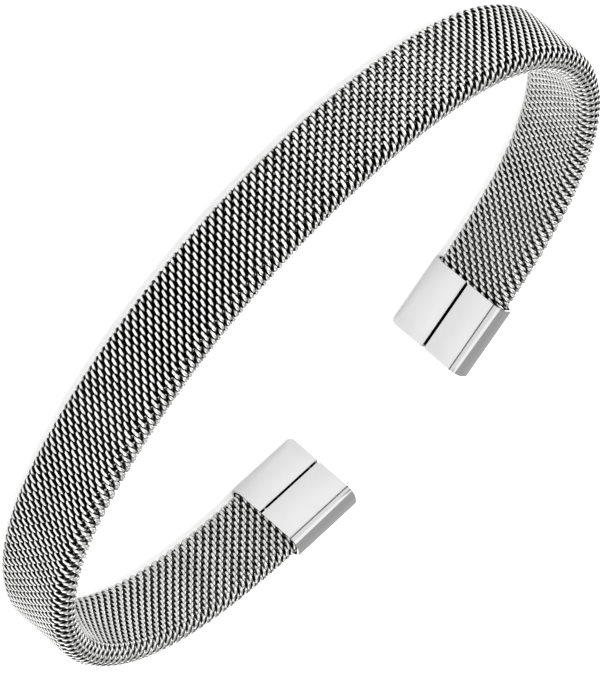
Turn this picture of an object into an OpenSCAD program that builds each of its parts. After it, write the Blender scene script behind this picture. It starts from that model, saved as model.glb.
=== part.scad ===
// Open oval cuff bracelet: a flattened woven steel band with a folded sheet
// cap on each end. It lies on its side on the floor, z = 0.
// +X runs across the oval, -Y is the back of the cuff, +Y the gap, +Z its width.
// All lengths are in millimetres, all angles in degrees.

/* [Band] */
// Width of the woven band, from rim to rim
band_width = 8.2; // [7:0.1:8.4]
// Thickness of the woven band
band_thickness = 2.8; // [2.7:0.1:2.9]
// Radius of the band's rounded rims
band_rim_radius = 1.3; // [0.9:0.1:1.3]

/* [Oval] */
// Centreline radius of the cuff's flatter back
back_radius = 45; // [42:1:50]
// Half of the angle that the back covers
back_half_angle = 32.1; // [30:0.1:34]
// Centreline radius of the bend at each side of the wrist
bend_radius = 22.6; // [20:0.1:25]
// Angle that each bend covers
bend_angle = 116.4; // [112:0.1:119]
// Centreline radius of the arm between a bend and its cap
arm_radius = 39; // [36:0.5:44]
// Angle that each arm covers
arm_angle = 13.8; // [10:0.1:15]

/* [End caps] */
// Length of a cap along the band
cap_length = 7.7; // [6:0.1:10]
// Width of a cap, which is also the height of the whole cuff as it lies
cap_width = 9; // [9:0.1:9.6]
// Thickness of a cap
cap_thickness = 3.2; // [3.2:0.1:3.8]
// Radius of a cap's long outer corners
cap_corner_radius = 1.2; // [0.8:0.1:1.5]
// Thickness of the folded sheet
sheet = 0.25; // [0.2:0.05:0.3]
// Width of the slit where the two flaps meet on the inner face
slit_width = 0.25; // [0.2:0.05:0.4]
// How far the slit of the right cap sits below the cap's middle
slit_drop_right = 0.5; // [0:0.1:0.8]

/* [Hidden] */
$fn = 64;
// Room between the band's shoulder and a cap's mouth, and past the tongue's end
gap = 0.1;
// How far the tongue inside a cap stands back from the band's surface
tongue_step = 0.2;
// The bends run this angle into the arcs beside them, and are this much slimmer
lap_angle = 1;
lap_step = 0.02;
mid_height = cap_width / 2;
// Heading of the centreline, from +X towards +Y, at the end of each arc
bend_end = back_half_angle + bend_angle;
arm_end = bend_end + arm_angle;
back_centre = [0, 0];
bend_centre = back_centre + (back_radius - bend_radius) * outward(back_half_angle);
arm_centre = bend_centre + (bend_radius - arm_radius) * outward(bend_end);
mouth = arm_centre + arm_radius * outward(arm_end);
// The oval is moved so that the origin is under the middle of its box
back_face_y = back_centre[1] - back_radius - band_thickness / 2;
tip_y = mouth[1] + (cap_length + gap) * along(arm_end)[1] + cap_thickness / 2 * outward(arm_end)[1];
middle_y = (back_face_y + tip_y) / 2;

// Unit step along the centreline, and square to it away from the wrist
function along(heading) = [cos(heading), sin(heading)];
function outward(heading) = [sin(heading), -cos(heading)];

// Rectangle with rounded corners, centred on the origin
module rounded(x_size, y_size, radius) {
    square([x_size - 2 * radius, y_size], center = true);
    square([x_size, y_size - 2 * radius], center = true);
    for (x = [-1, 1], y = [-1, 1])
        translate([x * (x_size / 2 - radius), y * (y_size / 2 - radius)])
            circle(radius);
}

// One arc of the band between two headings of its centreline
module band_arc(centre, radius, start, end, slimmer = 0) {
    translate(centre)
        rotate(start - 90)
            rotate_extrude(angle = end - start)
                translate([radius, 0])
                    rounded(band_thickness - slimmer, band_width - slimmer, band_rim_radius);
}

// Sets its children up at an end of the arm: their z runs along the band
// towards the gap, their x towards the wrist and their y up
module at_mouth() {
    translate(mouth) rotate([90, 0, arm_end + 90]) children();
}

// The part of the band that the cap grips
module tongue() {
    at_mouth()
        translate([0, 0, -gap])
            linear_extrude(cap_length + gap - sheet)
                rounded(
                    band_thickness - 2 * tongue_step,
                    band_width - 2 * tongue_step,
                    band_rim_radius - tongue_step
                );
}

module side_of_band() {
    band_arc(bend_centre, bend_radius, back_half_angle - lap_angle, bend_end + lap_angle, lap_step);
    band_arc(arm_centre, arm_radius, bend_end, arm_end);
    tongue();
}

module mesh_band() {
    color("silver") {
        band_arc(back_centre, back_radius, -back_half_angle, back_half_angle);
        side_of_band();
        mirror([1, 0, 0]) side_of_band();
    }
}

// Folded cap: a flat tube with a slit on its inner face and a closed tip
module end_cap(slit_shift) {
    at_mouth() translate([0, 0, gap]) {
        linear_extrude(cap_length) difference() {
            rounded(cap_thickness, cap_width, cap_corner_radius);
            rounded(cap_thickness - 2 * sheet, cap_width - 2 * sheet, cap_corner_radius - sheet);
            translate([0, slit_shift - slit_width / 2]) square([cap_thickness, slit_width]);
        }
        translate([0, 0, cap_length - sheet])
            linear_extrude(sheet)
                rounded(cap_thickness, cap_width, cap_corner_radius);
    }
}

module end_cap_right() {
    color("gainsboro") end_cap(-slit_drop_right);
}

module end_cap_left() {
    color("gainsboro") mirror([1, 0, 0]) end_cap(0);
}

translate([0, -middle_y, mid_height]) {
    mesh_band();
    end_cap_left();
    end_cap_right();
}
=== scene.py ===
"""Dresses the open oval cuff: its woven band, its folded caps, the floor, the lights and the camera."""
import logging
import math
from collections.abc import Callable
from dataclasses import dataclass, field
from enum import Enum

import bpy
import numpy as np
from mathutils import Euler, Matrix, Vector


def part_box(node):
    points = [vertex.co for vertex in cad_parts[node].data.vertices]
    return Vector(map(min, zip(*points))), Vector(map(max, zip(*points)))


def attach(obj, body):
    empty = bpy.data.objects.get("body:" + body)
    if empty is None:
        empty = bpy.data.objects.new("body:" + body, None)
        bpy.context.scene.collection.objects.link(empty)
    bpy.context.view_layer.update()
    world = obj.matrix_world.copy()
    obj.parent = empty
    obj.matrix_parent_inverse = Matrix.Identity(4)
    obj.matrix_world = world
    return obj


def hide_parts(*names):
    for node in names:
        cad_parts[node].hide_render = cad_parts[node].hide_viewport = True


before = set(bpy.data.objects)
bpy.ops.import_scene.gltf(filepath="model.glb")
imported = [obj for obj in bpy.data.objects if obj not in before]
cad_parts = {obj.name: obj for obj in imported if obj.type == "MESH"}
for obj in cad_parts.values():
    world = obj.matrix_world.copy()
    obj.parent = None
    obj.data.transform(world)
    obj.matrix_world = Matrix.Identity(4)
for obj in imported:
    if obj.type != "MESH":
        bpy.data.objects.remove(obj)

MM = 0.001
BODY = "root"
# A face looks along an axis when at least this much of its normal does
SQUARE_ON = 0.99
Colour = tuple[float, float, float, float]
log = logging.getLogger("cuff")


class Side(Enum):
    """The two ends of the cuff, by the side of the gap that they are on."""

    LEFT = -1
    RIGHT = 1


class Element(Enum):
    """What is selected in edit mode."""

    VERTEX = "vertex"
    EDGE = "edge"
    FACE = "face"


# Helpers for modelling with operators

def deselect_all() -> None:
    """Leaves object mode with nothing selected and nothing active."""
    if bpy.context.object and bpy.context.object.mode != "OBJECT":
        bpy.ops.object.mode_set(mode="OBJECT")
    bpy.ops.object.select_all(action="DESELECT")
    bpy.context.view_layer.objects.active = None


def choose(*pieces: bpy.types.Object) -> None:
    """Selects the given pieces alone and makes the first one active.

    Args:
        pieces: The objects to select.
    """
    deselect_all()
    for piece in pieces:
        piece.select_set(True)
    bpy.context.view_layer.objects.active = pieces[0]


def add_modifier(piece: bpy.types.Object, kind: str, **settings: object) -> None:
    """Adds a modifier to a piece and applies it at once.

    Args:
        piece: The mesh object.
        kind: Blender's name for the modifier, such as "ARRAY".
        settings: Values for the modifier's own properties.
    """
    choose(piece)
    modifier = piece.modifiers.new(kind.lower(), kind)
    for name, value in settings.items():
        setattr(modifier, name, value)
    bpy.ops.object.modifier_apply(modifier=modifier.name)


def edit_selected(
    piece: bpy.types.Object, kind: Element, chosen: Callable[[object], bool]
) -> None:
    """Enters edit mode on a piece with only the chosen vertices, edges or faces selected.

    Args:
        piece: The mesh object.
        kind: Whether vertices, edges or faces are chosen.
        chosen: Says of each of them whether it is selected.
    """
    choose(piece)
    mesh = piece.data
    elements = {Element.VERTEX: mesh.vertices, Element.EDGE: mesh.edges, Element.FACE: mesh.polygons}
    for every in elements.values():
        every.foreach_set("select", [False] * len(every))
    for element in elements[kind]:
        element.select = chosen(element)
    bpy.context.tool_settings.mesh_select_mode = tuple(kind is each for each in Element)
    bpy.ops.object.mode_set(mode="EDIT")


def guide_curve(name: str, points: list[Vector], cyclic: bool) -> bpy.types.Object:
    """Makes a flat curve that a Curve modifier bends a mesh along.

    Args:
        name: Name of the curve.
        points: Evenly spaced points of the path, in the XY plane.
        cyclic: Whether the path closes on itself.

    Returns:
        The curve object.
    """
    data = bpy.data.curves.new(name, "CURVE")
    data.dimensions = "3D"
    data.twist_mode = "Z_UP"
    spline = data.splines.new("POLY")
    spline.points.add(len(points) - 1)
    for target, point in zip(spline.points, points):
        target.co = (point.x, point.y, 0.0, 1.0)
    spline.use_cyclic_u = cyclic
    curve = bpy.data.objects.new(name, data)
    bpy.context.collection.objects.link(curve)
    return curve


def remove(piece: bpy.types.Object) -> None:
    """Deletes an object that was only a step on the way."""
    bpy.data.objects.remove(piece, do_unlink=True)


# The cuff's shape

@dataclass(frozen=True)
class Arc:
    """One arc of the band's centreline."""

    radius: float
    turn: float

    @property
    def length(self) -> float:
        """Length along the arc."""
        return self.radius * self.turn


@dataclass(frozen=True)
class Place:
    """A point of the centreline and the direction of the band there."""

    point: Vector
    heading: float

    @property
    def along(self) -> Vector:
        """Unit step along the band, from the left cap round to the right one."""
        return Vector((math.cos(self.heading), math.sin(self.heading), 0.0))

    @property
    def inward(self) -> Vector:
        """Unit step towards the wrist."""
        return Vector((-math.sin(self.heading), math.cos(self.heading), 0.0))


@dataclass
class Oval:
    """The band's centreline: a back, two bends and two short arms."""

    band_thickness: float = 2.8 * MM
    back_radius: float = 45.0 * MM
    back_half_angle: float = math.radians(32.1)
    bend_radius: float = 22.6 * MM
    bend_angle: float = math.radians(116.4)
    arm_radius: float = 39.0 * MM
    arm_angle: float = math.radians(13.8)
    half: list[Arc] = field(init=False)
    back_middle: Vector = field(init=False)

    def __post_init__(self) -> None:
        """Works out the arcs of one half and the middle of the back from the frame."""
        low, high = (Vector(corner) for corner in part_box("mesh_band"))
        self.half = [
            Arc(self.back_radius, self.back_half_angle),
            Arc(self.bend_radius, self.bend_angle),
            Arc(self.arm_radius, self.arm_angle),
        ]
        self.back_middle = Vector(
            ((low.x + high.x) / 2, low.y + self.band_thickness / 2, (low.z + high.z) / 2)
        )

    @property
    def half_length(self) -> float:
        """Length from the middle of the back to a cap's mouth."""
        return sum(arc.length for arc in self.half)

    def place(self, distance: float) -> Place:
        """Finds a place on the centreline.

        Args:
            distance: Way along the band from the middle of the back, positive to the right. Past
                an arm's end the line goes straight on.

        Returns:
            The point and the heading there.
        """
        point = Vector((0.0, 0.0, 0.0))
        heading = 0.0
        left = abs(distance)
        for arc in self.half:
            turn = min(left / arc.radius, arc.turn)
            centre = point + arc.radius * Vector((-math.sin(heading), math.cos(heading), 0.0))
            heading += turn
            point = centre - arc.radius * Vector((-math.sin(heading), math.cos(heading), 0.0))
            left -= turn * arc.radius
        point += max(left, 0.0) * Vector((math.cos(heading), math.sin(heading), 0.0))
        if distance < 0.0:
            point.x = -point.x
            heading = -heading
        return Place(self.back_middle + point, heading)

    def mouth(self, side: Side) -> Place:
        """The place where the band ends at a cap's mouth."""
        return self.place(side.value * self.half_length)

    def guide(self, start: float, end: float, step: float = 0.5 * MM) -> bpy.types.Object:
        """Makes the part of the centreline between two distances as a guide curve.

        Args:
            start: Where the guide begins, from the middle of the back.
            end: Where it ends.
            step: About how far apart its points are.

        Returns:
            The curve object, at height 0.
        """
        count = math.ceil((end - start) / step)
        places = [self.place(start + (end - start) * i / count) for i in range(count + 1)]
        return guide_curve("centreline", [place.point for place in places], cyclic=False)


@dataclass
class TubeSection:
    """The middle line of the fabric around the flattened tube: a rectangle with round corners."""

    thickness: float
    width: float
    corner: float

    @property
    def perimeter(self) -> float:
        """Length of the line all the way round."""
        straight = 2 * (self.thickness + self.width - 4 * self.corner)
        return straight + 2 * math.pi * self.corner

    def point(self, distance: float) -> Vector:
        """Finds a point of the line.

        Args:
            distance: Way round it, anticlockwise, from the start of the outer face.

        Returns:
            The point, with x down the band's width and y towards the wrist.
        """
        half_width = self.width / 2 - self.corner
        half_thickness = self.thickness / 2 - self.corner
        quarter = math.pi / 2 * self.corner
        left = distance % self.perimeter
        corners = [
            (half_width, -half_thickness, 2 * half_width),
            (half_width, half_thickness, 2 * half_thickness),
            (-half_width, half_thickness, 2 * half_width),
            (-half_width, -half_thickness, 2 * half_thickness),
        ]
        for side, (x, y, straight) in enumerate(corners):
            facing = math.pi / 2 * (side - 1)
            outward = Vector((math.cos(facing), math.sin(facing), 0.0))
            ahead = Vector((-outward.y, outward.x, 0.0))
            corner = Vector((x, y, 0.0))
            if left <= straight:
                return corner + outward * self.corner - ahead * (straight - left)
            left -= straight
            if left <= quarter:
                angle = facing + left / self.corner
                return corner + self.corner * Vector((math.cos(angle), math.sin(angle), 0.0))
            left -= quarter
        return self.point(0.0)

    def guide(self, step: float = 0.04 * MM) -> bpy.types.Object:
        """Makes the line as a closed guide curve.

        Args:
            step: About how far apart its points are.

        Returns:
            The curve object.
        """
        count = math.ceil(self.perimeter / step)
        points = [self.point(self.perimeter * i / count) for i in range(count)]
        return guide_curve("tube_section", points, cyclic=True)


@dataclass
class WovenBand:
    """The band: a flattened tube of interlocked wire spirals that run along it.

    Each spiral swings round the tube and in and out of the fabric. Its squareness is the share of
    a threefold wave that flattens the turns.
    """

    oval: Oval
    width: float = 8.2 * MM
    rim_radius: float = 1.3 * MM
    wire_diameter: float = 0.36 * MM
    wire_resolution: int = 2
    swing_round: float = 0.39 * MM
    swing_out: float = 0.26 * MM
    squareness: float = 1 / 9
    outer_skew: float = 0.09 * MM
    wrist_skew: float = 0.06 * MM
    rolled: float = 0.03 * MM
    spirals: int = 36
    points_per_turn: int = 10
    # A plain strip stands in for the inmost wires; it takes the painted shade and shows near black
    # through the gaps
    crowd_depth: float = 0.34 * MM
    crowd_thickness: float = 0.1 * MM
    crowd_facets: int = 48
    hidden_length: float = 0.7 * MM
    sharp_angle: float = math.radians(70)
    weld_distance: float = 0.001 * MM
    stretches: tuple[tuple[str, int], ...] = (
        ("weave_left_arm", 32),
        ("weave_left_bend", 31),
        ("weave_back", 32),
        ("weave_right_bend", 31),
        ("weave_right_arm", 32),
    )

    @property
    def layer(self) -> float:
        """Thickness of the woven fabric, with its crowns rolled flat."""
        return 2 * (self.swing_out - self.rolled) + self.wire_diameter

    @property
    def section(self) -> TubeSection:
        """The middle line of the fabric round the tube.

        Returns:
            The line, half the fabric's thickness inside the band's own outline.
        """
        return TubeSection(
            self.oval.band_thickness - self.layer,
            self.width - self.layer,
            self.rim_radius - self.layer / 2,
        )

    @property
    def pitch(self) -> float:
        """Advance of a spiral in one turn."""
        turns = sum(count for _, count in self.stretches)
        return 2 * (self.oval.half_length + self.hidden_length) / turns

    @property
    def spacing(self) -> float:
        """Distance round the tube from one spiral to the next."""
        return self.section.perimeter / self.spirals

    def wrist_side(self, across: np.ndarray | float) -> np.ndarray | float:
        """Tells the two faces of the tube apart on the flat fabric.

        Args:
            across: Place across the flat fabric, which is the way round the tube.

        Returns:
            0 in the middle of the outer face, 1 in the middle of the face by the wrist.
        """
        middle_of_outer_face = self.section.width / 2 - self.section.corner
        turned = 2 * math.pi * (across - middle_of_outer_face) / self.section.perimeter
        return 0.5 - 0.5 * np.cos(turned)

    def flat_fabric(self, name: str, turns: int) -> bpy.types.Object:
        """Makes the fabric before it is wrapped: straight spirals of wire along Z, side by side.

        Args:
            name: Name of the object.
            turns: Number of whole turns of each spiral.

        Returns:
            A mesh of tubes, with a lid that isn't welded on yet at each end.
        """
        data = bpy.data.curves.new(name, "CURVE")
        data.dimensions = "3D"
        data.bevel_depth = self.wire_diameter / 2
        data.bevel_resolution = self.wire_resolution
        data.use_fill_caps = True
        for number in range(self.spirals):
            self.add_spiral(data, turns, number)
        fabric = bpy.data.objects.new(name, data)
        bpy.context.collection.objects.link(fabric)
        choose(fabric)
        bpy.ops.object.convert(target="MESH")
        return bpy.context.object

    def add_spiral(self, data: bpy.types.Curve, turns: int, number: int) -> None:
        """Adds one spiral, which leans more on the outer face than on the one by the wrist.

        Args:
            data: The curve that gets the spiral as a new spline.
            turns: Number of whole turns.
            number: Number of the spiral, counted round the tube. Odd ones lie half a pitch ahead.
                Each one starts on the inside of the fabric, where its cut end is out of sight.
        """
        across = number * self.spacing
        ahead = number % 2 * self.pitch / 2
        skew = self.outer_skew + (self.wrist_skew - self.outer_skew) * self.wrist_side(across)
        round_tube = self.swing_round / (1 + self.squareness)
        outwards = self.swing_out / (1 - self.squareness)
        spline = data.splines.new("POLY")
        spline.points.add(turns * self.points_per_turn)
        for i, point in enumerate(spline.points):
            turned = i / self.points_per_turn
            angle = 2 * math.pi * (turned + 0.5)
            point.co = (
                across - round_tube * (math.sin(angle) - self.squareness * math.sin(3 * angle)),
                -outwards * (math.cos(angle) - self.squareness * math.cos(3 * angle)),
                self.pitch * turned + ahead - skew * math.sin(angle),
                1.0,
            )

    def crowded_inside(self, turns: int) -> bpy.types.Object:
        """Makes one plain strip that stands in for the inmost wires of the fabric and lets no light
        through. It lies so deep that it takes the near-black painted shade, which shows through the
        gaps of the weave.

        Args:
            turns: Number of whole turns that the strip is long.

        Returns:
            A thin flat strip, open at the two sides that meet when it is wrapped.
        """
        deselect_all()
        bpy.ops.mesh.primitive_grid_add(
            size=1.0, x_subdivisions=self.crowd_facets, y_subdivisions=turns,
            rotation=(math.radians(90), 0.0, 0.0),
        )
        strip = bpy.context.object
        width, length = self.section.perimeter, turns * self.pitch
        bpy.ops.object.transform_apply(location=True, rotation=True, scale=True)
        strip.scale = (width, 1.0, length)
        strip.location = (width / 2, self.crowd_depth, length / 2)
        bpy.ops.object.transform_apply(location=True, rotation=True, scale=True)
        add_modifier(strip, "SOLIDIFY", thickness=self.crowd_thickness, offset=-1.0)

        def where_sides_meet(face: bpy.types.MeshPolygon) -> bool:
            """Says whether a face closes one of the two sides that meet round the tube."""
            return abs(face.normal.x) > SQUARE_ON

        edit_selected(strip, Element.FACE, where_sides_meet)
        bpy.ops.mesh.delete(type="FACE")
        bpy.ops.object.mode_set(mode="OBJECT")
        return strip

    def roll_flat(self, piece: bpy.types.Object) -> None:
        """Flattens the crowns on both sides of the flat fabric, as rolling does.

        Args:
            piece: The flat fabric.
        """
        points = np.empty(len(piece.data.vertices) * 3, dtype=np.float32)
        piece.data.vertices.foreach_get("co", points)
        points[1::3] = np.clip(points[1::3], -self.layer / 2, self.layer / 2)
        piece.data.vertices.foreach_set("co", points)
        piece.data.update()

    def mark_lie(self, piece: bpy.types.Object) -> None:
        """Stores how each point of the flat fabric lies, for the wire's painted shade to read.

        The attribute relief is 0 at the fabric's inside and 1 at its crowns. The attribute facing
        is 1 where the wire's own surface looks straight out of the fabric and 0 on its flanks. It
        belongs to the faces' corners, so that the cut ends of the wires don't blur it. The
        attribute wrist_side is 0 on the outer face of the tube and 1 on the face by the wrist.

        Args:
            piece: The flat fabric, with its outer face towards -Y.
        """
        points = np.empty(len(piece.data.vertices) * 3, dtype=np.float32)
        normals = np.empty(len(piece.data.loops) * 3, dtype=np.float32)
        piece.data.vertices.foreach_get("co", points)
        piece.data.corner_normals.foreach_get("vector", normals)
        values = {
            ("relief", "POINT"): 0.5 - points[1::3] / self.layer,
            ("facing", "CORNER"): -normals[1::3],
            ("wrist_side", "POINT"): self.wrist_side(points[0::3]),
        }
        for (name, domain), value in values.items():
            attribute = piece.data.attributes.new(name, "FLOAT", domain)
            attribute.data.foreach_set("value", value.astype(np.float32))

    def stretch(self, name: str, turns: int, first_turn: int) -> bpy.types.Object:
        """Builds one stretch of the woven tube in its place on the cuff.

        Args:
            name: Name of the piece.
            turns: How many turns of the spirals it covers.
            first_turn: How many turns of the band come before it.

        Returns:
            The finished mesh object.
        """
        fabric = self.flat_fabric(name, turns)
        # The plain strip inside shows as near-black painted shade through the gaps
        choose(fabric, self.crowded_inside(turns))
        bpy.ops.object.join()
        piece = bpy.context.object
        # The wires' lids are welded on before the smoothing, so that their edges stay sharp
        add_modifier(piece, "WELD", merge_threshold=self.weld_distance)
        self.roll_flat(piece)
        bpy.ops.object.shade_smooth_by_angle(angle=self.sharp_angle)
        self.mark_lie(piece)
        around = self.section.guide()
        add_modifier(piece, "CURVE", object=around, deform_axis="POS_X")
        remove(around)
        add_modifier(piece, "WELD", merge_threshold=self.weld_distance)
        piece.rotation_euler = Euler((0.0, math.radians(90), 0.0))
        piece.location.x = first_turn * self.pitch
        bpy.ops.object.transform_apply(location=True, rotation=True, scale=True)
        reach = self.oval.half_length + self.hidden_length
        centreline = self.oval.guide(-reach, reach + self.pitch)
        add_modifier(piece, "CURVE", object=centreline, deform_axis="POS_X")
        remove(centreline)
        piece.location.z = self.oval.back_middle.z
        bpy.ops.object.transform_apply(location=True, rotation=True, scale=True)
        piece.data.name = name
        return piece

    def build(self) -> list[bpy.types.Object]:
        """Builds every stretch of the band, from the left cap round to the right one.

        Returns:
            The finished mesh objects.
        """
        pieces = []
        before = 0
        for name, turns in self.stretches:
            pieces.append(self.stretch(name, turns, before))
            before += turns
        return pieces


@dataclass
class EndCap:
    """A cap folded from thin sheet, with its slit on the inner face and a closed tip."""

    side: Side
    oval: Oval
    length: float = 7.7 * MM
    width: float = 9.0 * MM
    thickness: float = 3.2 * MM
    corner: float = 1.2 * MM
    corner_segments: int = 10
    sheet: float = 0.25 * MM
    slit: float = 0.25 * MM
    slit_drop: float = 0.0
    tip_notch: float = 0.5 * MM
    flap_corner: float = 0.45 * MM
    flap_segments: int = 5
    gap: float = 0.1 * MM
    edge: float = 0.07 * MM
    edge_segments: int = 3
    edge_angle: float = math.radians(50)
    smooth_angle: float = math.radians(40)
    corner_nearness: float = 0.01 * MM

    @property
    def name(self) -> str:
        """Name of the CAD node that the cap stands for."""
        return f"end_cap_{self.side.name.lower()}"

    def build(self) -> bpy.types.Object:
        """Models the cap at the origin, along Z with its inner face at +X, and sets it in place.

        Returns:
            The finished mesh object.
        """
        deselect_all()
        bpy.ops.mesh.primitive_cube_add(size=1.0, location=(0.0, 0.0, self.length / 2))
        cap = bpy.context.object
        cap.name = f"{self.name}_sheet"
        cap.scale = (self.thickness, self.width, self.length)
        bpy.ops.object.transform_apply(location=True, rotation=True, scale=True)
        self.round_long_edges(cap)
        self.open_mouth_and_slit(cap)
        self.round_upper_flap(cap)
        add_modifier(cap, "SOLIDIFY", thickness=self.sheet, offset=-1.0, use_even_offset=True)
        add_modifier(
            cap, "BEVEL", width=self.edge, segments=self.edge_segments, limit_method="ANGLE",
            angle_limit=self.edge_angle,
        )
        bpy.ops.object.shade_smooth_by_angle(angle=self.smooth_angle)
        self.set_in_place(cap)
        return cap

    def round_long_edges(self, cap: bpy.types.Object) -> None:
        """Rounds the four edges that run along the cap.

        Args:
            cap: The plain block.
        """
        points = cap.data.vertices

        def runs_along(edge: bpy.types.MeshEdge) -> bool:
            """Says whether an edge is one of the four long ones."""
            first, second = (points[i].co for i in edge.vertices)
            return abs(first.z - second.z) > self.length / 2

        edit_selected(cap, Element.EDGE, runs_along)
        bpy.ops.mesh.bevel(offset=self.corner, segments=self.corner_segments, affect="EDGES")
        bpy.ops.object.mode_set(mode="OBJECT")

    @staticmethod
    def cut_by_slit(face: bpy.types.MeshPolygon) -> bool:
        """Says whether a face is the inner face or the tip, or a part of them."""
        return max(face.normal.x, face.normal.z) > SQUARE_ON

    def in_slit(self, face: bpy.types.MeshPolygon) -> bool:
        """Says whether a face lies in the slit's narrow strip, on the inner face or on the tip."""
        return self.cut_by_slit(face) and abs(face.center.y + self.slit_drop) < self.slit / 2

    def open_mouth_and_slit(self, cap: bpy.types.Object) -> None:
        """Takes away the face at the mouth and the slit, which runs on into the tip.

        Args:
            cap: The block with its long edges rounded.
        """
        for edge in (-self.slit / 2, self.slit / 2):
            edit_selected(cap, Element.FACE, self.cut_by_slit)
            bpy.ops.mesh.bisect(
                plane_co=(0.0, edge - self.slit_drop, 0.0), plane_no=(0.0, 1.0, 0.0)
            )
            bpy.ops.object.mode_set(mode="OBJECT")
        notch_floor = self.thickness / 2 - self.tip_notch

        def on_tip(face: bpy.types.MeshPolygon) -> bool:
            """Says whether a face is the slit's strip on the tip."""
            return face.normal.z > SQUARE_ON and self.in_slit(face)

        edit_selected(cap, Element.FACE, on_tip)
        bpy.ops.mesh.bisect(plane_co=(notch_floor, 0.0, 0.0), plane_no=(1.0, 0.0, 0.0))
        bpy.ops.object.mode_set(mode="OBJECT")

        def left_open(face: bpy.types.MeshPolygon) -> bool:
            """Says whether a face is the mouth or lies in the open part of the slit."""
            at_mouth = face.normal.z < -SQUARE_ON
            return at_mouth or (self.in_slit(face) and face.center.x > notch_floor)

        edit_selected(cap, Element.FACE, left_open)
        bpy.ops.mesh.delete(type="FACE")
        bpy.ops.object.mode_set(mode="OBJECT")

    def round_upper_flap(self, cap: bpy.types.Object) -> None:
        """Rounds the corner of the upper flap where the slit meets the tip.

        Args:
            cap: The thin shell with its slit open.
        """
        edge = self.side.value * self.slit / 2 - self.slit_drop
        corner = Vector((self.thickness / 2, edge, self.length))

        def at_corner(vertex: bpy.types.MeshVertex) -> bool:
            """Says whether a vertex is the flap's corner."""
            return (vertex.co - corner).length < self.corner_nearness

        edit_selected(cap, Element.VERTEX, at_corner)
        bpy.ops.mesh.bevel(offset=self.flap_corner, segments=self.flap_segments, affect="VERTICES")
        bpy.ops.object.mode_set(mode="OBJECT")

    def set_in_place(self, cap: bpy.types.Object) -> None:
        """Moves the cap from the origin to the end of its arm.

        Args:
            cap: The finished cap.
        """
        place = self.oval.mouth(self.side)
        along = place.along * self.side.value
        up = Vector((0.0, 0.0, 1.0))
        turn = Matrix((place.inward, up if self.side is Side.RIGHT else -up, along)).transposed()
        spot = place.point + along * self.gap
        choose(cap)
        cap.matrix_world = Matrix.Translation(spot) @ turn.to_4x4()
        bpy.ops.object.transform_apply(location=True, rotation=True, scale=True)


# Finishes

def shader_input(nodes: bpy.types.Nodes, name: str) -> bpy.types.NodeSocket:
    """Finds a socket of a material's Principled BSDF."""
    return nodes["Principled BSDF"].inputs[name]


def new_material(name: str) -> bpy.types.Material:
    """Makes a node material that still has only its Principled BSDF.

    Args:
        name: Name of the material.

    Returns:
        The material.
    """
    material = bpy.data.materials.new(name)
    material.use_nodes = True
    return material


def new_group(
    name: str, inputs: dict[str, str], outputs: dict[str, str]
) -> tuple[bpy.types.NodeTree, bpy.types.Node, bpy.types.Node]:
    """Makes an empty shader node group with its sockets.

    Args:
        name: Name of the group.
        inputs: Socket type of each input, by the input's name.
        outputs: Socket type of each output, by the output's name.

    Returns:
        The group, its input node and its output node.
    """
    group = bpy.data.node_groups.new(name, "ShaderNodeTree")
    for socket, kind in inputs.items():
        group.interface.new_socket(name=socket, in_out="INPUT", socket_type=kind)
    for socket, kind in outputs.items():
        group.interface.new_socket(name=socket, in_out="OUTPUT", socket_type=kind)
    return group, group.nodes.new("NodeGroupInput"), group.nodes.new("NodeGroupOutput")


def use_group(
    material: bpy.types.Material, group: bpy.types.NodeTree, **values: object
) -> bpy.types.Node:
    """Adds a group to a material.

    Args:
        material: The material.
        group: The shader node group.
        values: Constant values of the group's inputs, by name.

    Returns:
        The group's node in the material.
    """
    node = material.node_tree.nodes.new("ShaderNodeGroup")
    node.node_tree = group
    for name, value in values.items():
        node.inputs[name].default_value = value
    return node


def colour_mix(nodes: bpy.types.Nodes) -> bpy.types.Node:
    """Adds a node that mixes two colours.

    Args:
        nodes: The nodes of a material or a group.

    Returns:
        The mix node.
    """
    mix = nodes.new("ShaderNodeMix")
    mix.data_type = "RGBA"
    return mix


def painted_weave_shade_group() -> bpy.types.NodeTree:
    """Makes the group that gives one face of the weave its colour.

    Its crowns keep their bright colour where they lie high and look straight out. Where the wire dives
    into the weave or turns its flank away, shade is painted on in a dark colour.

    Returns:
        The shader node group.
    """
    group, given, result = new_group(
        "painted_weave_shade",
        {
            "painted_shade": "NodeSocketColor", "crown": "NodeSocketColor",
            "relief_low": "NodeSocketFloat", "relief_high": "NodeSocketFloat",
            "facing_low": "NodeSocketFloat", "facing_high": "NodeSocketFloat",
        },
        {"colour": "NodeSocketColor"},
    )
    nodes, links = group.nodes, group.links
    shown = nodes.new("ShaderNodeMath")
    shown.operation = "MULTIPLY"
    for slot, name in enumerate(("relief", "facing")):
        lie = nodes.new("ShaderNodeAttribute")
        lie.attribute_name = name
        mask = nodes.new("ShaderNodeMapRange")
        mask.interpolation_type = "SMOOTHSTEP"
        links.new(lie.outputs["Fac"], mask.inputs["Value"])
        links.new(given.outputs[f"{name}_low"], mask.inputs["From Min"])
        links.new(given.outputs[f"{name}_high"], mask.inputs["From Max"])
        links.new(mask.outputs["Result"], shown.inputs[slot])
    # Paints shade: the dark colour where the wire dives or turns its flank away, the crown colour on
    # top
    mix = colour_mix(nodes)
    links.new(given.outputs["painted_shade"], mix.inputs["A"])
    links.new(given.outputs["crown"], mix.inputs["B"])
    links.new(shown.outputs["Value"], mix.inputs["Factor"])
    links.new(mix.outputs["Result"], result.inputs["colour"])
    return group


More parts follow.
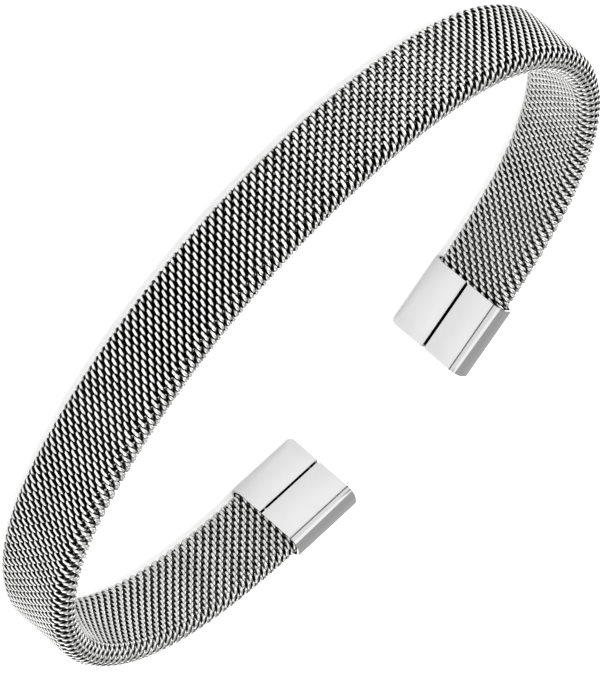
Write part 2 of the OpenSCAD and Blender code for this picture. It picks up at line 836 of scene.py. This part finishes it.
@dataclass(frozen=True)
class FineWear:
    """How blotches of wear and fine scratches are read from noise, alike for every metal."""

    blotches_start: float = 0.35
    blotches_end: float = 0.65
    scratches_start: float = 0.3
    scratches_end: float = 0.7
    scratch_detail: float = 4.0
    scratch_depth: float = 0.002 * MM

    def group(self) -> bpy.types.NodeTree:
        """Makes the group that varies a metal's colour and roughness and gives it relief.

        Returns:
            The shader node group.
        """
        group, given, result = new_group(
            "fine_wear",
            {
                "colour": "NodeSocketColor", "stretch": "NodeSocketVector",
                "blotch_scale": "NodeSocketFloat", "scratch_scale": "NodeSocketFloat",
                "darkest": "NodeSocketFloat", "smoothest": "NodeSocketFloat",
                "roughest": "NodeSocketFloat", "relief": "NodeSocketFloat",
            },
            {"colour": "NodeSocketColor", "roughness": "NodeSocketFloat", "normal": "NodeSocketVector"},
        )
        nodes, links = group.nodes, group.links
        place = nodes.new("ShaderNodeTexCoord")
        blotches = nodes.new("ShaderNodeTexNoise")
        links.new(place.outputs["Object"], blotches.inputs["Vector"])
        links.new(given.outputs["blotch_scale"], blotches.inputs["Scale"])
        shade = nodes.new("ShaderNodeMapRange")
        shade.inputs["From Min"].default_value = self.blotches_start
        shade.inputs["From Max"].default_value = self.blotches_end
        shade.inputs["To Max"].default_value = 1.0
        links.new(blotches.outputs["Fac"], shade.inputs["Value"])
        links.new(given.outputs["darkest"], shade.inputs["To Min"])
        tint = nodes.new("ShaderNodeVectorMath")
        tint.operation = "SCALE"
        links.new(given.outputs["colour"], tint.inputs[0])
        links.new(shade.outputs["Result"], tint.inputs["Scale"])
        links.new(tint.outputs["Vector"], result.inputs["colour"])
        drawn_out = nodes.new("ShaderNodeVectorMath")
        drawn_out.operation = "MULTIPLY"
        links.new(place.outputs["Object"], drawn_out.inputs[0])
        links.new(given.outputs["stretch"], drawn_out.inputs[1])
        scratches = nodes.new("ShaderNodeTexNoise")
        scratches.inputs["Detail"].default_value = self.scratch_detail
        links.new(drawn_out.outputs["Vector"], scratches.inputs["Vector"])
        links.new(given.outputs["scratch_scale"], scratches.inputs["Scale"])
        polish = nodes.new("ShaderNodeMapRange")
        polish.inputs["From Min"].default_value = self.scratches_start
        polish.inputs["From Max"].default_value = self.scratches_end
        links.new(scratches.outputs["Fac"], polish.inputs["Value"])
        links.new(given.outputs["smoothest"], polish.inputs["To Min"])
        links.new(given.outputs["roughest"], polish.inputs["To Max"])
        links.new(polish.outputs["Result"], result.inputs["roughness"])
        bump = nodes.new("ShaderNodeBump")
        bump.inputs["Distance"].default_value = self.scratch_depth
        links.new(given.outputs["relief"], bump.inputs["Strength"])
        links.new(scratches.outputs["Fac"], bump.inputs["Height"])
        links.new(bump.outputs["Normal"], result.inputs["normal"])
        return group


@dataclass(frozen=True)
class Weathering:
    """How a metal's finish varies over its surface."""

    stretch: tuple[float, float, float]
    blotch_scale: float
    scratch_scale: float
    darkest: float
    smoothest: float
    roughest: float
    relief: float

    def apply(
        self, material: bpy.types.Material, group: bpy.types.NodeTree
    ) -> bpy.types.Node:
        """Varies a metal's colour and roughness and gives it fine relief.

        Args:
            material: The material, with its Principled BSDF.
            group: The fine wear group.

        Returns:
            The group's node, which still has to be given the metal's colour.
        """
        nodes, links = material.node_tree.nodes, material.node_tree.links
        wear = use_group(
            material, group, stretch=self.stretch, blotch_scale=self.blotch_scale,
            scratch_scale=self.scratch_scale, darkest=self.darkest, smoothest=self.smoothest,
            roughest=self.roughest, relief=self.relief,
        )
        links.new(wear.outputs["colour"], shader_input(nodes, "Base Color"))
        links.new(wear.outputs["roughness"], shader_input(nodes, "Roughness"))
        links.new(wear.outputs["normal"], shader_input(nodes, "Normal"))
        shader_input(nodes, "Metallic").default_value = 1.0
        return wear


@dataclass(frozen=True)
class PaintedWeaveShade:
    """How shade is painted on one face of the weave: bright crowns over painted shade in the recesses
    and on the wires' flanks.
    """

    # The dark colour is painted shade where the wire dives and on its flanks
    painted_shade: Colour
    crown: Colour
    relief_low: float
    relief_high: float
    facing_low: float
    facing_high: float


@dataclass(frozen=True)
class WireSteel:
    """Bright drawn wire, with painted shade where it dives into the weave and on its flanks. The face
    by the wrist has its own painted copy, with a darker crown and paler shade, for the way light falls
    there.
    """

    outer: PaintedWeaveShade = PaintedWeaveShade(
        painted_shade=(0.01, 0.01, 0.01, 1.0), crown=(0.74, 0.74, 0.73, 1.0),
        relief_low=0.2, relief_high=0.44, facing_low=0.46, facing_high=0.84,
    )
    # Painted copy for the face by the wrist: darker crown, paler painted shade and softer masks, for
    # the way light falls there
    wrist: PaintedWeaveShade = PaintedWeaveShade(
        painted_shade=(0.09, 0.09, 0.09, 1.0), crown=(0.59, 0.59, 0.58, 1.0),
        relief_low=0.3, relief_high=0.7, facing_low=0.15, facing_high=0.7,
    )
    wrist_starts: float = 0.35
    wrist_is_full: float = 0.65
    wear: Weathering = Weathering(
        stretch=(1.0, 1.0, 1.0), blotch_scale=400.0, scratch_scale=6000.0, darkest=0.86,
        smoothest=0.12, roughest=0.3, relief=0.3,
    )

    def material(self, wear_group: bpy.types.NodeTree) -> bpy.types.Material:
        """Builds the wire's material.

        Args:
            wear_group: The fine wear group.

        Returns:
            The material.
        """
        material = new_material("drawn_wire_steel")
        nodes, links = material.node_tree.nodes, material.node_tree.links
        # The face by the wrist takes its own copy of the painted shade, for the way light falls on it
        side = nodes.new("ShaderNodeAttribute")
        side.attribute_name = "wrist_side"
        mask = nodes.new("ShaderNodeMapRange")
        mask.interpolation_type = "SMOOTHSTEP"
        mask.inputs["From Min"].default_value = self.wrist_starts
        mask.inputs["From Max"].default_value = self.wrist_is_full
        links.new(side.outputs["Fac"], mask.inputs["Value"])
        faces = colour_mix(nodes)
        links.new(mask.outputs["Result"], faces.inputs["Factor"])
        painted_shade_group = painted_weave_shade_group()
        for slot, face_shade in (("A", self.outer), ("B", self.wrist)):
            face = use_group(material, painted_shade_group, **vars(face_shade))
            links.new(face.outputs["colour"], faces.inputs[slot])
        wear = self.wear.apply(material, wear_group)
        links.new(faces.outputs["Result"], wear.inputs["colour"])
        return material


@dataclass(frozen=True)
class PolishedSteel:
    """Mirror-polished sheet with a few fine scratches along it."""

    colour: Colour = (0.5, 0.5, 0.5, 1.0)
    wear: Weathering = Weathering(
        stretch=(0.08, 1.0, 1.0), blotch_scale=160.0, scratch_scale=5000.0, darkest=0.95,
        smoothest=0.06, roughest=0.14, relief=0.25,
    )

    def material(self, wear_group: bpy.types.NodeTree) -> bpy.types.Material:
        """Builds the caps' material.

        Args:
            wear_group: The fine wear group.

        Returns:
            The material.
        """
        material = new_material("mirror_polished_steel")
        wear = self.wear.apply(material, wear_group)
        wear.inputs["colour"].default_value = self.colour
        return material


# Surroundings

@dataclass(frozen=True)
class PhotoCamera:
    """The camera, at the photograph's angle to the cuff and rolled as the photograph is."""

    aim: Vector = Vector((0.61, -0.03, 4.37)) * MM
    distance: float = 488.4 * MM
    azimuth: float = math.radians(-88.31)
    elevation: float = math.radians(21.68)
    roll: float = math.radians(130.45)
    lens: float = 322.9
    sensor: float = 36.0
    sees_from: float = 0.01
    sees_to: float = 20.0

    def build(self) -> None:
        """Creates the camera and makes it the scene's own."""
        data = bpy.data.cameras.new("photo_camera")
        data.sensor_fit = "HORIZONTAL"
        data.sensor_width = self.sensor
        data.lens = self.lens
        data.clip_start = self.sees_from
        data.clip_end = self.sees_to
        camera = bpy.data.objects.new("photo_camera", data)
        level = math.cos(self.elevation)
        back = Vector((
            level * math.cos(self.azimuth), level * math.sin(self.azimuth), math.sin(self.elevation)
        ))
        turn = (-back).to_track_quat("-Z", "Y").to_matrix() @ Matrix.Rotation(self.roll, 3, "Z")
        camera.matrix_world = Matrix.Translation(self.aim + back * self.distance) @ turn.to_4x4()
        bpy.context.collection.objects.link(camera)
        bpy.context.scene.camera = camera


@dataclass(frozen=True)
class Softbox:
    """A rectangular soft lamp that faces the cuff."""

    name: str
    place: tuple[float, float, float]
    width: float
    height: float
    brightness: float

    def build(self) -> None:
        """Adds the lamp to the scene, with its power from its brightness and size."""
        data = bpy.data.lights.new(self.name, "AREA")
        data.shape = "RECTANGLE"
        data.size = self.width
        data.size_y = self.height
        data.energy = self.brightness * math.pi * self.width * self.height
        lamp = bpy.data.objects.new(self.name, data)
        place = Vector(self.place)
        turn = (-place).to_track_quat("-Z", "Y").to_matrix()
        lamp.matrix_world = Matrix.Translation(place) @ turn.to_4x4()
        bpy.context.collection.objects.link(lamp)


@dataclass(frozen=True)
class Studio:
    """A plain pale floor, a pale surround and softboxes in front and at both sides."""

    floor_size: float = 6.0
    floor_colour: Colour = (0.95, 0.95, 0.95, 1.0)
    floor_roughness: float = 0.9
    floor_glow: float = 0.45
    surround: Colour = (1.0, 1.0, 1.0, 1.0)
    surround_strength: float = 0.68
    softboxes: tuple[Softbox, ...] = (
        Softbox("front_low", place=(0.0, -1.0, 0.38), width=2.6, height=0.62, brightness=0.8),
        Softbox("front_high", place=(0.0, -0.7, 1.0), width=2.2, height=0.7, brightness=1.15),
        Softbox("left_side", place=(-0.95, 0.25, 0.6), width=1.0, height=0.8, brightness=2.8),
        Softbox("right_side", place=(0.95, 0.25, 0.6), width=1.0, height=0.8, brightness=2.8),
    )

    def build(self) -> None:
        """Creates the floor, the surround and the lamps."""
        deselect_all()
        bpy.ops.mesh.primitive_plane_add(size=self.floor_size)
        floor = bpy.context.object
        floor.name = "floor"
        material = new_material("pale_floor")
        nodes = material.node_tree.nodes
        shader_input(nodes, "Base Color").default_value = self.floor_colour
        shader_input(nodes, "Roughness").default_value = self.floor_roughness
        shader_input(nodes, "Emission Color").default_value = self.floor_colour
        shader_input(nodes, "Emission Strength").default_value = self.floor_glow
        floor.data.materials.append(material)
        world = bpy.data.worlds.new("pale_surround")
        world.use_nodes = True
        sky = world.node_tree.nodes["Background"]
        sky.inputs["Color"].default_value = self.surround
        sky.inputs["Strength"].default_value = self.surround_strength
        bpy.context.scene.world = world
        bpy.context.scene.view_settings.view_transform = "Standard"
        for softbox in self.softboxes:
            softbox.build()


def hand_over(piece: bpy.types.Object, node: str, material: bpy.types.Material) -> None:
    """Dresses a finished piece, hangs it on the cuff's body and hides the CAD part that it stands for.

    Args:
        piece: The finished object.
        node: The CAD node that it replaces.
        material: Its finish.
    """
    piece.data.materials.clear()
    piece.data.materials.append(material)
    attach(piece, BODY)
    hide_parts(node)
    log.info("%s: %d faces", piece.name, len(piece.data.polygons))


def main() -> None:
    """Builds the camera, the studio and every piece of the cuff."""
    logging.basicConfig(level=logging.INFO, format="%(name)s %(message)s")
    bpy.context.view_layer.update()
    PhotoCamera().build()
    Studio().build()
    oval = Oval()
    wear_group = FineWear().group()
    wire = WireSteel().material(wear_group)
    for piece in WovenBand(oval).build():
        hand_over(piece, "mesh_band", wire)
    polish = PolishedSteel().material(wear_group)
    left_cap = EndCap(Side.LEFT, oval, slit=0.32 * MM)
    right_cap = EndCap(Side.RIGHT, oval, slit_drop=0.5 * MM)
    for cap in (left_cap, right_cap):
        hand_over(cap.build(), cap.name, polish)


if __name__ == "__main__":
    main()
